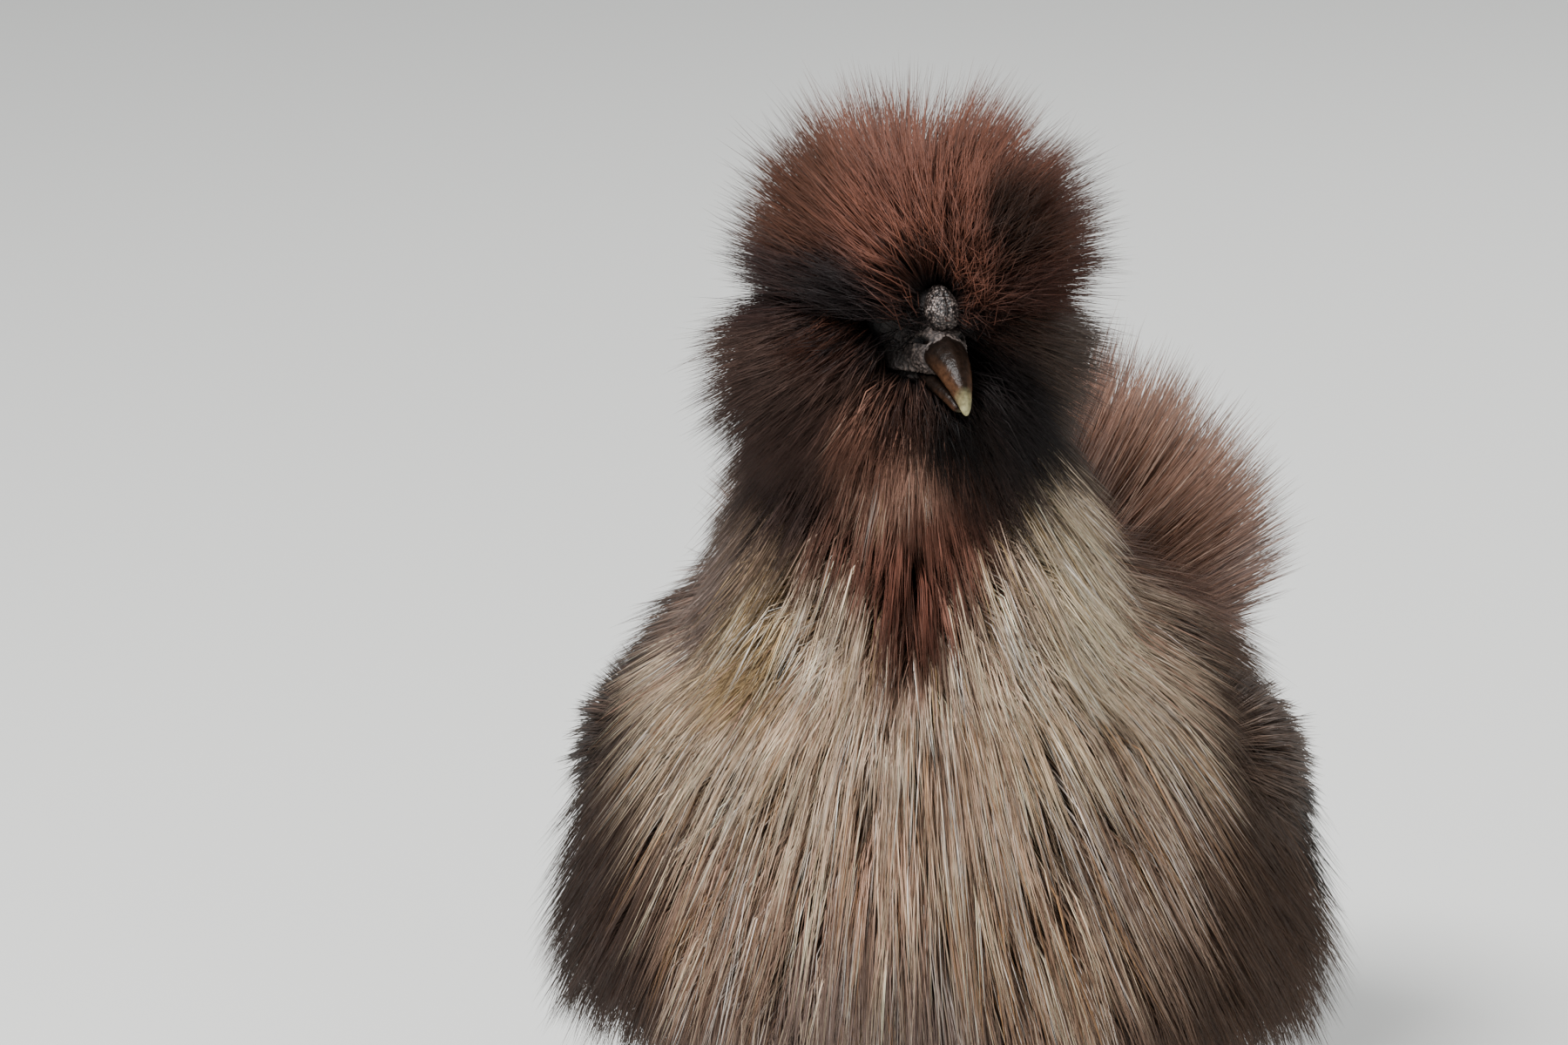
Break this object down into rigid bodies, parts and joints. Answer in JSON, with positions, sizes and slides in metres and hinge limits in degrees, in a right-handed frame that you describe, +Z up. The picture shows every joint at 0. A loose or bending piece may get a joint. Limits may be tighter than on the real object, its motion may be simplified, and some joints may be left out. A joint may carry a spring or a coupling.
{
  "type": "silkie chicken",
  "caption": "Life-size standing silkie hen with a globe crest, beard and muffs, a fluffy body, a cushion rump and five-toed feathered feet, head turned to its left.",
  "frame": {"origin": "on the floor, below the middle of the whole bird", "axes": "+Z up, the breast faces -Y, and the bird's left is +X"},
  "size_m": [0.2012, 0.2386, 0.3],
  "materials": {
    "horn": "dark horn, pale at the tip",
    "comb": "matt black-mulberry skin",
    "eye": "wet gloss",
    "skin": "matt black-mulberry skin",
    "crest_feathers": "soft red-brown down",
    "beard_feathers": "soft brown down",
    "muff_feathers": "soft dark down",
    "hackle_feathers": "streaked cream and grey-brown down",
    "breast_feathers": "streaked cream and brown down",
    "wing_feathers": "soft brown vanes",
    "saddle_feathers": "soft pinkish-brown down",
    "tail_feathers": "soft brown down",
    "thigh_feathers": "soft brown down",
    "foot_skin": "dark scaled skin",
    "claw": "dull horn"
  },
  "bodies": {
    "root": {"beak_upper": "horn", "beak_lower": "horn", "comb": "comb", "eye_left": "eye", "eye_right": "eye", "head": "skin", "crest": "crest_feathers", "beard": "beard_feathers", "muff_left": "muff_feathers", "muff_right": "muff_feathers", "neck": "hackle_feathers", "wing_left": "wing_feathers", "wing_right": "wing_feathers", "saddle": "saddle_feathers", "tail": "tail_feathers", "claw_left_1": "claw", "claw_left_2": "claw", "claw_left_3": "claw", "claw_left_4": "claw", "claw_left_5": "claw", "foot_left": "foot_skin", "claw_right_1": "claw", "claw_right_2": "claw", "claw_right_3": "claw", "claw_right_4": "claw", "claw_right_5": "claw", "foot_right": "foot_skin", "thigh_left": "thigh_feathers", "thigh_right": "thigh_feathers", "torso": "breast_feathers"}
  },
  "joints": []
}
